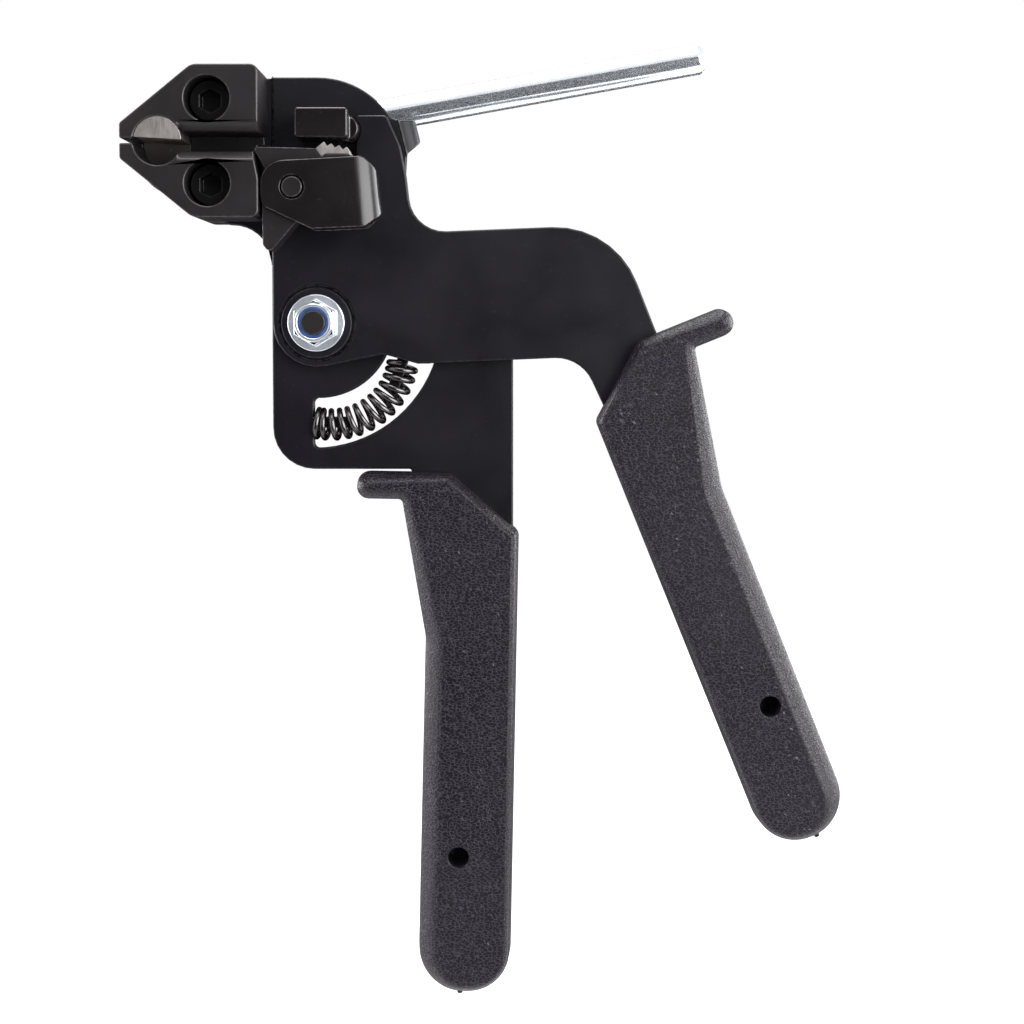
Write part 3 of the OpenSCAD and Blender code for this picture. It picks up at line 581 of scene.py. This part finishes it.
def dress(node, material, width, body, segments=2):
    """Puts a copy of a node with rounded edges in the node's place."""
    shape = node_shape(node)
    round_edges(shape, width, segments)
    piece = add_piece("dressed_" + node, shape, material, body)
    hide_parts(node)
    return piece


class StepOperator:
    """Shared options of the building steps."""
    bl_options = {"REGISTER", "UNDO"}


# the camera's place from the pivot in millimetres, its pitch in degrees and its lens
CAMERA = {"place": (48.7, -445, -4.25), "down": 2.897, "lens": 62.58, "sensor": 36, "shift": -0.08}
# each lamp: its place from the tool's centre and its size in metres, and the setting that gives
# its power with its share of that; shine lamps show only in reflections, the others never do
LAMPS = (
    ("Side lamp", (-0.75, 0, 0.05), 0.8, "side_lamp", 1.0),
    ("Key lamp", (-0.45, -0.9, 0.75), 0.6, "key_lamp", 1.0),
    ("Back shine lamp", (-0.8, 0.5, 0.1), 0.7, "shine_lamp", 1.0),
    ("Top shine lamp", (0, -0.3, 0.85), 0.6, "shine_lamp", 0.8),
    ("Side lamp", (0.75, 0, 0.05), 0.8, "side_lamp", 1.0),
    ("Key lamp", (0.45, 0.9, 0.75), 0.6, "key_lamp", 1.0),
    ("Back shine lamp", (0.8, 0.5, 0.1), 0.7, "shine_lamp", 1.0),
    ("Top shine lamp", (0, 0.3, 0.85), 0.6, "shine_lamp", 0.8),
    ("Right shine lamp", (0.70, -0.56, 0.05), 0.95, "shine_lamp", 3.0),
    ("Left shine lamp", (-0.8, -0.3, 0.05), 0.7, "shine_lamp", 0.25),
)
# in metres: the dark cards' width and height, and how far they stand from the tool's centre
UPRIGHT_CARD = {"size": (1.6, 0.7), "away": 1.0, "up": 0.15}
FLAT_CARD = {"size": (1.6, 0.8), "away": 0.62}
CARD_COLOUR = (0.012, 0.012, 0.013, 1)
FLOOR_SIZE = 6
FLOOR_COLOUR = (0.9, 0.9, 0.9, 1)
FLOOR_GLOW = 0.6
WHITE = (1, 1, 1, 1)


class TENSION_OT_stage(StepOperator, bpy.types.Operator):
    """Add the camera, the lamps, the white floor and the cards that black metal reflects"""
    bl_idname = "tension.stage"
    bl_label = "Stage"

    def execute(self, context):
        settings = context.scene.tension_stage
        centre = (CAD_BOX[0] + CAD_BOX[1]) / 2
        floor = CAD_BOX[0].z - settings.drop
        self.camera(context.scene)
        self.world(context.scene, settings)
        self.floor(floor)
        for name, place, size, setting, share in LAMPS:
            self.lamp(name, centre + Vector(place), centre, size,
                      share * getattr(settings, setting), setting == "shine_lamp")
        for side in (-1, 1):
            upright = centre + Vector((0, side * UPRIGHT_CARD["away"], UPRIGHT_CARD["up"]))
            self.card("Upright card", upright, *UPRIGHT_CARD["size"], 90)
            flat = Vector((centre.x, centre.y + side * FLAT_CARD["away"], floor + MM))
            self.card("Flat card", flat, *FLAT_CARD["size"], 0)
        context.scene.view_settings.view_transform = "Standard"
        return {"FINISHED"}

    def camera(self, scene):
        data = bpy.data.cameras.new("Camera")
        data.sensor_width = CAMERA["sensor"]
        data.lens = CAMERA["lens"]
        data.shift_y = CAMERA["shift"]
        data.clip_start = 0.01
        camera = bpy.data.objects.new("Camera", data)
        camera.location = from_pivot(*CAMERA["place"])
        camera.rotation_euler = (math.radians(90 - CAMERA["down"]), 0, 0)
        scene.collection.objects.link(camera)
        scene.camera = camera

    def lamp(self, name, place, target, size, power, shine):
        data = bpy.data.lights.new(name, "AREA")
        data.size = size
        data.energy = power
        lamp = bpy.data.objects.new(name, data)
        lamp.location = place
        lamp.rotation_euler = (target - place).to_track_quat("-Z", "Y").to_euler()
        lamp.visible_diffuse = not shine
        lamp.visible_glossy = shine
        bpy.context.scene.collection.objects.link(lamp)

    def world(self, scene, settings):
        """Even light, which shows as plain white to the camera and in reflections."""
        world = bpy.data.worlds.new("Studio")
        world.use_nodes = True
        scene.world = world
        shader = Shader(world.node_tree)
        background = world.node_tree.nodes["Background"]
        background.inputs["Color"].default_value = WHITE
        shader.feed(background.inputs["Strength"],
                    shader.vary(self.seen(shader), settings.world, 1.0))

    def seen(self, shader):
        """1 for a ray from the camera, a mirror or glass, and 0 for one that only lights."""
        path = shader.add("ShaderNodeLightPath").outputs
        straight = shader.math("MAXIMUM", path["Is Camera Ray"], path["Is Glossy Ray"])
        return shader.math("MAXIMUM", straight, path["Is Transmission Ray"])

    def floor(self, height):
        """A white floor that keeps the shadow."""
        shape = bmesh.new()
        bmesh.ops.create_grid(shape, x_segments=1, y_segments=1, size=FLOOR_SIZE)
        bmesh.ops.translate(shape, verts=shape.verts, vec=(0, 0, height))
        mesh = bpy.data.meshes.new("Floor")
        shape.to_mesh(mesh)
        shape.free()
        material, shader, principled = new_material("White floor")
        principled.inputs["Base Color"].default_value = FLOOR_COLOUR
        principled.inputs["Roughness"].default_value = 0.9
        principled.inputs["Specular IOR Level"].default_value = 0
        principled.inputs["Emission Color"].default_value = WHITE
        shader.feed(principled.inputs["Emission Strength"],
                    shader.math("MULTIPLY", self.seen(shader), FLOOR_GLOW))
        mesh.materials.append(material)
        floor = bpy.data.objects.new("Floor", mesh)
        bpy.context.scene.collection.objects.link(floor)

    def card(self, name, place, width, height, turn):
        """A dark card, seen only in reflections, as a photographer sets for black metal."""
        shape = bmesh.new()
        bmesh.ops.create_grid(shape, x_segments=1, y_segments=1, size=0.5)
        bmesh.ops.scale(shape, verts=shape.verts, vec=(width, height, 1))
        bmesh.ops.rotate(shape, verts=shape.verts, matrix=Matrix.Rotation(math.radians(turn), 3, "X"))
        bmesh.ops.translate(shape, verts=shape.verts, vec=place)
        mesh = bpy.data.meshes.new(name)
        shape.to_mesh(mesh)
        shape.free()
        material, _, principled = new_material(name)
        principled.inputs["Base Color"].default_value = CARD_COLOUR
        principled.inputs["Specular IOR Level"].default_value = 0
        mesh.materials.append(material)
        card = bpy.data.objects.new(name, mesh)
        bpy.context.scene.collection.objects.link(card)
        card.visible_camera = False
        card.visible_diffuse = False
        card.visible_shadow = False


class TENSION_OT_plates(StepOperator, bpy.types.Operator):
    """Give the two plates and the spring's driver rounded edges and a black finish"""
    bl_idname = "tension.plates"
    bl_label = "Plates"

    def execute(self, context):
        width = context.scene.tension_edges.plate
        dress("fixed_plate", finish("plate"), width, "base", 3)
        dress("moving_plate", finish("plate"), width, "handle", 3)
        dress("spring_driver", finish("plate"), width / 2, "handle")
        return {"FINISHED"}


class TENSION_OT_nose(StepOperator, bpy.types.Operator):
    """Give the nose blocks and their screws rounded edges and a black finish"""
    bl_idname = "tension.nose"
    bl_label = "Nose"

    def execute(self, context):
        edges = context.scene.tension_edges
        for node in ("nose_front", "nose_rear"):
            dress(node, finish("block"), edges.nose, "base", 3)
        for node in ("cap_screw_upper", "cap_screw_lower"):
            dress(node, finish("fastener"), edges.small, "base")
        return {"FINISHED"}


class TENSION_OT_pivot(StepOperator, bpy.types.Operator):
    """Finish the pivot bolt, its washer, the lock nut and the nylon ring"""
    bl_idname = "tension.pivot"
    bl_label = "Pivot"

    def execute(self, context):
        width = context.scene.tension_edges.small
        dress("pivot_bolt", finish("block"), width, "base")
        dress("pivot_washer", finish("plate"), width, "base")
        dress("lock_nut", finish("nut"), width, "base")
        dress("nylon_ring", finish("nylon"), width / 2, "base")
        return {"FINISHED"}


# angles, in degrees from straight down, at which the wire crosses the coil's front
STRANDS = (-14, -11.4, -6.3, 1.7, 9.7, 17.2, 25.7, 34.9, 43.2, 51.8, 60.6, 69.1, 76.1, 82)
SPRING_CENTRE = (3.1, 4.8, -7.4)
STEPS_A_CURL = 24


class TENSION_OT_spring(StepOperator, bpy.types.Operator):
    """Wind the curved return spring from round wire"""
    bl_idname = "tension.spring"
    bl_label = "Return spring"

    def execute(self, context):
        settings = context.scene.tension_spring
        coil = (settings.coil - settings.wire) / 2
        start = STEPS_A_CURL // 2
        end = (len(STRANDS) - 1) * STEPS_A_CURL
        curve = bpy.data.curves.new("return_coil", "CURVE")
        curve.dimensions = "3D"
        curve.bevel_depth = settings.wire / 2
        curve.bevel_resolution = 4
        curve.use_fill_caps = True
        line = curve.splines.new("POLY")
        line.points.add(end - start)
        for step, point in enumerate(line.points, start):
            point.co = (*self.wire_place(settings.radius, coil, step), 1)
        maker = bpy.data.objects.new("return_coil", curve)
        bpy.context.scene.collection.objects.link(maker)
        bpy.context.view_layer.update()
        mesh = bpy.data.meshes.new_from_object(maker.evaluated_get(
            bpy.context.evaluated_depsgraph_get()))
        bpy.data.objects.remove(maker)
        shape = bmesh.new()
        shape.from_mesh(mesh)
        bpy.data.meshes.remove(mesh)
        bmesh.ops.remove_doubles(shape, verts=shape.verts, dist=SAME_PLACE)
        bmesh.ops.recalc_face_normals(shape, faces=shape.faces)
        piece = add_piece("return_coil", shape, finish("wire"))
        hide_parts("return_spring")
        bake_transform(piece)
        return {"FINISHED"}

    def wire_place(self, radius, coil, step):
        """A place along the wire, which winds round a line bent to an arc."""
        curls, part = divmod(step, STEPS_A_CURL)
        share = part / STEPS_A_CURL
        low = STRANDS[curls]
        high = STRANDS[min(curls + 1, len(STRANDS) - 1)]
        angle = math.radians(low + (high - low) * share)
        turn = 2 * math.pi * share - math.pi / 2
        reach = radius + coil * math.cos(turn)
        return from_pivot(*SPRING_CENTRE) + Vector((
            reach * math.sin(angle), coil * math.sin(turn), -reach * math.cos(angle)))


# the anvil's stud ends here in Y, clear of the fixed plate's bend that it swings over
ANVIL_STUD_END = -2.1 * MM


class TENSION_OT_pawl(StepOperator, bpy.types.Operator):
    """Finish the anvil, the toothed pawl, its folded clip and its pin"""
    bl_idname = "tension.pawl"
    bl_label = "Anvil and pawl"

    def execute(self, context):
        edges = context.scene.tension_edges
        anvil = dress("anvil_block", finish("sheet"), edges.nose, "handle", 3)
        for vert in anvil.data.vertices:
            vert.co.y = min(vert.co.y, ANVIL_STUD_END)
        dress("pawl_pin", finish("block"), edges.small, "handle", 3)
        dress("pawl_jaw", finish("block"), edges.small / 2, "pawl")
        dress("tooth_strip", finish("ground"), edges.tooth, "pawl")
        dress("pawl_clip", finish("sheet"), edges.small, "pawl", 3)
        return {"FINISHED"}


# the shaft is ground bright from its front end to this far behind it; beyond, its brown is made lighter,
# as painted light in the shaded bore
GROUND_DEPTH = 0.5 * MM


class TENSION_OT_lever(StepOperator, bpy.types.Operator):
    """Finish the cutter shaft, the lever's hub, its rod and its grub screw"""
    bl_idname = "tension.lever"
    bl_label = "Cutter lever"

    def execute(self, context):
        edges = context.scene.tension_edges
        cutter = dress("cutter_shaft", finish("ground"), edges.tooth, "lever")
        cutter.data.materials.append(finish("bore"))
        front = min(vert.co.y for vert in cutter.data.vertices)
        for face in cutter.data.polygons:
            face.material_index = int(face.center.y > front + GROUND_DEPTH)
        dress("lever_hub", finish("block"), edges.nose, "lever", 3)
        dress("hub_screw", finish("fastener"), edges.small, "lever")
        dress("lever_rod", finish("rod"), edges.small, "lever", 3)
        return {"FINISHED"}


# places on a grip, in millimetres across from its inner corner and up from it
SIDE_SHIFT = 0.35
GUARD = {"under": 7.3, "top": 14.3, "reach": 40.8, "brow": 16.9}
NECK = {"width": 29.4, "length": 27.5}
HANG_HOLE = {"across": 13.3, "from_end": 35.5}
HALF_WEB = 0.4
NIB = {"across": 12.4, "deep": -3.5, "radius": 0.7, "rise": 0.7, "rounding": 0.3, "sides": 20}
# radii of the outline's corners, in millimetres
CORNERS = {"end": 11.2, "neck": 8, "guard_root": 0.8, "guard_tip": 3.4, "inner": 2.2}
CORNER_STEPS = 14
HOLE_STEPS = 48
# where each grip's inner corner lies from the pivot, its side, its lean in degrees and how much
# narrower its end is than its neck
GRIPS = {
    "left_grip": {
        "x": 50.1, "drop": 52.3, "y": 4.8, "side": -1, "lean": 1.1, "narrowing": -0.4, "body": "base"},
    "right_grip": {
        "x": 69.8, "drop": 24, "y": 1.5, "side": 1, "lean": 22, "narrowing": 0.3, "body": "handle"},
}
# the rim's and the facet's section, as how far in and how far below the front, in millimetres
RIM_SECTION = (
    (0.4, 1.95), (0.62, 1.75), (0.72, 1.5), (0.9, 0.95), (1.1, 0.6), (1.45, 0.25), (1.9, 0.0), (2.1, 0.0))
FACET_SECTION = (
    (0.25, 4.5), (0.6, 4.0), (1.1, 3.3), (1.9, 2.35), (2.8, 1.4), (3.7, 0.6), (4.7, 0.1), (5.4, 0.0))
FACET_WIDTH = FACET_SECTION[-2][0]
# the hang hole's lip, as how far out from the hole and how far below the front, in millimetres
LIP_SECTION = ((0.0, 0.3), (0.03, 0.15), (0.09, 0.09), (0.15, 0.03), (0.3, 0.0))
# how much of the wide facet runs on the guard, in the neck and round the end, and between which
# places, in millimetres, it gives way to the rim
FADE = {
    "guard": 0.35, "guard_drop": 0.9, "guard_root": 1, "neck": 0.55, "neck_drop": 34, "outer_half": 15,
    "end": 0.35, "end_rise": 12, "end_under": (-1, 11), "end_outside": (12, 23), "end_turn": 1.5}


class TENSION_OT_grips(StepOperator, bpy.types.Operator):
    """Mould the two grained plastic grips"""
    bl_idname = "tension.grips"
    bl_label = "Grips"

    def execute(self, context):
        for node, place in GRIPS.items():
            self.grip(node, place, context.scene.tension_grips)
        return {"FINISHED"}

    def grip(self, node, place, sizes):
        """One half is raised ring by ring from the outline at the middle, then mirrored."""
        length, width, depth = (size / MM for size in (sizes.length, sizes.width, sizes.depth))
        shape = bmesh.new()
        self.outline(shape, length, width, place["narrowing"])
        self.raise_rings(shape, depth / 2, length, sizes.facet / FACET_WIDTH / MM)
        self.front_with_hole(shape, depth / 2, length, sizes.hole / MM / 2)
        bmesh.ops.mirror(
            shape, geom=shape.verts[:] + shape.edges[:] + shape.faces[:],
            matrix=Matrix.Identity(4), merge_dist=SAME_PLACE / MM, axis="Y")
        bmesh.ops.recalc_face_normals(shape, faces=shape.faces)
        shape = union(shape, self.nib(length))
        shape.transform(self.placing(place))
        shape.normal_update()
        bmesh.ops.recalc_face_normals(shape, faces=shape.faces)
        piece = add_piece("grained_" + node, shape, finish("grip"), place["body"])
        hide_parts(node)

    def outline(self, shape, length, width, narrowing):
        """The flat outline, with every corner rounded."""
        outer = width - SIDE_SHIFT
        low = SIDE_SHIFT * GUARD["top"] / GUARD["brow"]
        corners = [
            (-SIDE_SHIFT, -length, "end"), (outer - narrowing, -length, "end"),
            (outer, -NECK["length"], "neck"), (NECK["width"], GUARD["under"], "guard_root"),
            (GUARD["reach"], GUARD["under"], "guard_tip"), (GUARD["reach"], GUARD["top"], "guard_tip"),
            (GUARD["brow"], GUARD["top"], "inner"), (-SIDE_SHIFT, -low, "inner")]
        points = [shape.verts.new((across, 0, up)) for across, up, _ in corners]
        shape.faces.new(points)
        for point, (_, _, corner) in zip(points, corners):
            first, second = ((edge.other_vert(point).co - point.co) for edge in point.link_edges)
            half = first.angle(second) / 2
            bmesh.ops.bevel(
                shape, geom=[point], offset=CORNERS[corner] / math.tan(half), offset_type="OFFSET",
                affect="VERTICES", segments=CORNER_STEPS, profile=0.5, material=-1, clamp_overlap=False)

    def raise_rings(self, shape, half, length, stretch):
        """Draws the outline in and forward along the rim's and the facet's sections."""
        order = shape.verts.layers.int.new("order")
        face = next(iter(shape.faces))
        face.normal_update()
        loops = [loop.vert for loop in face.loops]
        spots = []
        for number, point in enumerate(loops):
            point[order] = number
            before, after = loops[number - 1].co, loops[(number + 1) % len(loops)].co
            inward = face.normal.cross(after - before).normalized()
            spots.append((point.co.copy(), inward, self.share(point.co, length)))
        for rim, slant in zip(RIM_SECTION, FACET_SECTION):
            made = bmesh.ops.extrude_face_region(shape, geom=[face])["geom"]
            bmesh.ops.delete(shape, geom=[face], context="FACES_ONLY")
            face = next(part for part in made if isinstance(part, bmesh.types.BMFace))
            for point in face.verts:
                start, inward, share = spots[point[order]]
                drawn = rim[0] + (slant[0] * stretch - rim[0]) * share
                below = rim[1] + (slant[1] - rim[1]) * share
                point.co = start + inward * drawn - Vector((0, half - below, 0))
        bmesh.ops.delete(shape, geom=[face], context="FACES_ONLY")

    def share(self, spot, length):
        """1 where the wide facet runs, 0 where the narrow rim does, and between in the turns."""
        across, up = spot.x, spot.z
        if up > GUARD["under"] - FADE["guard_drop"]:
            return FADE["guard"] if across > NECK["width"] - FADE["guard_root"] else 0.0
        if up < FADE["end_rise"] - length:
            start, full = FADE["end_under"]
            under = min(1, max(0, (across - start) / (full - start)))
            start, full = FADE["end_outside"]
            outside = max(0, (across - start) / (full - start)) ** FADE["end_turn"]
            return FADE["end"] * under + (1 - FADE["end"]) * outside
        if across > FADE["outer_half"]:
            below = min(1, max(0, (GUARD["under"] - up) / FADE["neck_drop"]))
            return FADE["neck"] + (1 - FADE["neck"]) * below
        return 0.0

    def front_with_hole(self, shape, half, length, radius):
        """Spins the hang hole's wall, lip and thin web at the middle, and fills the front."""
        centre = Vector((HANG_HOLE["across"], 0, HANG_HOLE["from_end"] - length))
        section = [(-radius, half - HALF_WEB), (0, half - HALF_WEB), *LIP_SECTION]
        wall = [shape.verts.new(centre + Vector((radius + out, below - half, 0)))
                for out, below in section]
        line = [shape.edges.new(pair) for pair in zip(wall, wall[1:])]
        bmesh.ops.spin(
            shape, geom=wall + line, cent=centre, axis=(0, 1, 0), angle=2 * math.pi,
            steps=HOLE_STEPS, use_merge=True)
        border = [edge for edge in shape.edges if len(edge.link_faces) == 1
                  and all(vert.co.y < SAME_PLACE / MM - half for vert in edge.verts)]
        bmesh.ops.triangle_fill(shape, use_beauty=True, edges=border, normal=(0, -1, 0))

    def nib(self, length):
        """The small moulding nib under a grip's end."""
        shape = bmesh.new()
        bmesh.ops.create_cone(
            shape, cap_ends=True, segments=NIB["sides"], radius1=NIB["radius"], radius2=NIB["radius"],
            depth=2 * NIB["rise"],
            matrix=Matrix.Translation((NIB["across"], NIB["deep"], -length)))
        tip = [edge for edge in shape.edges if all(vert.co.z < -length for vert in edge.verts)]
        bmesh.ops.bevel(
            shape, geom=tip, offset=NIB["rounding"], offset_type="OFFSET", affect="EDGES",
            segments=3, profile=0.5, material=-1)
        return shape

    def placing(self, place):
        """Turns a grip from its own frame to the tool's, mirrored for the fixed one."""
        turn = Matrix.Rotation(math.radians(-place["lean"] * place["side"]), 4, "Y")
        mirror = Matrix.Scale(-1, 4, (1, 0, 0)) if place["side"] < 0 else Matrix.Identity(4)
        spot = from_pivot(place["x"], place["y"], -place["drop"])
        return Matrix.Translation(spot) @ turn @ Matrix.Scale(MM, 4) @ mirror


PARTS = (
    TENSION_OT_stage, TENSION_OT_plates, TENSION_OT_nose, TENSION_OT_pivot, TENSION_OT_spring,
    TENSION_OT_pawl, TENSION_OT_lever, TENSION_OT_grips)


SETTINGS = {
    "tension_edges": (EdgeSettings, "Edges"),
    "tension_spring": (SpringSettings, "Return spring"),
    "tension_grips": (GripSettings, "Grips"),
    "tension_finishes": (FinishSettings, "Finishes"),
    "tension_stage": (StageSettings, "Stage"),
}


class TENSION_PT_panel(bpy.types.Panel):
    """Sizes, colours and building steps of the tensioning tool"""
    bl_idname = "TENSION_PT_panel"
    bl_label = "Tensioning tool"
    bl_space_type = "VIEW_3D"
    bl_region_type = "UI"
    bl_category = "Tension Tool"

    def draw(self, context):
        for name, (_, label) in SETTINGS.items():
            box = self.layout.box()
            box.label(text=label)
            group = getattr(context.scene, name)
            for value in group.__annotations__:
                box.prop(group, value)
        for part in PARTS:
            self.layout.operator(part.bl_idname)


def register():
    for name, (group, _) in SETTINGS.items():
        bpy.utils.register_class(group)
        setattr(bpy.types.Scene, name, bpy.props.PointerProperty(type=group))
    for part in (*PARTS, TENSION_PT_panel):
        bpy.utils.register_class(part)


def unregister():
    for part in reversed((*PARTS, TENSION_PT_panel)):
        bpy.utils.unregister_class(part)
    for name, (group, _) in reversed(SETTINGS.items()):
        delattr(bpy.types.Scene, name)
        bpy.utils.unregister_class(group)


def main():
    register()
    bpy.ops.tension.stage()
    bpy.ops.tension.plates()
    bpy.ops.tension.nose()
    bpy.ops.tension.pivot()
    bpy.ops.tension.spring()
    bpy.ops.tension.pawl()
    bpy.ops.tension.lever()
    bpy.ops.tension.grips()


if __name__ == "__main__":
    main()
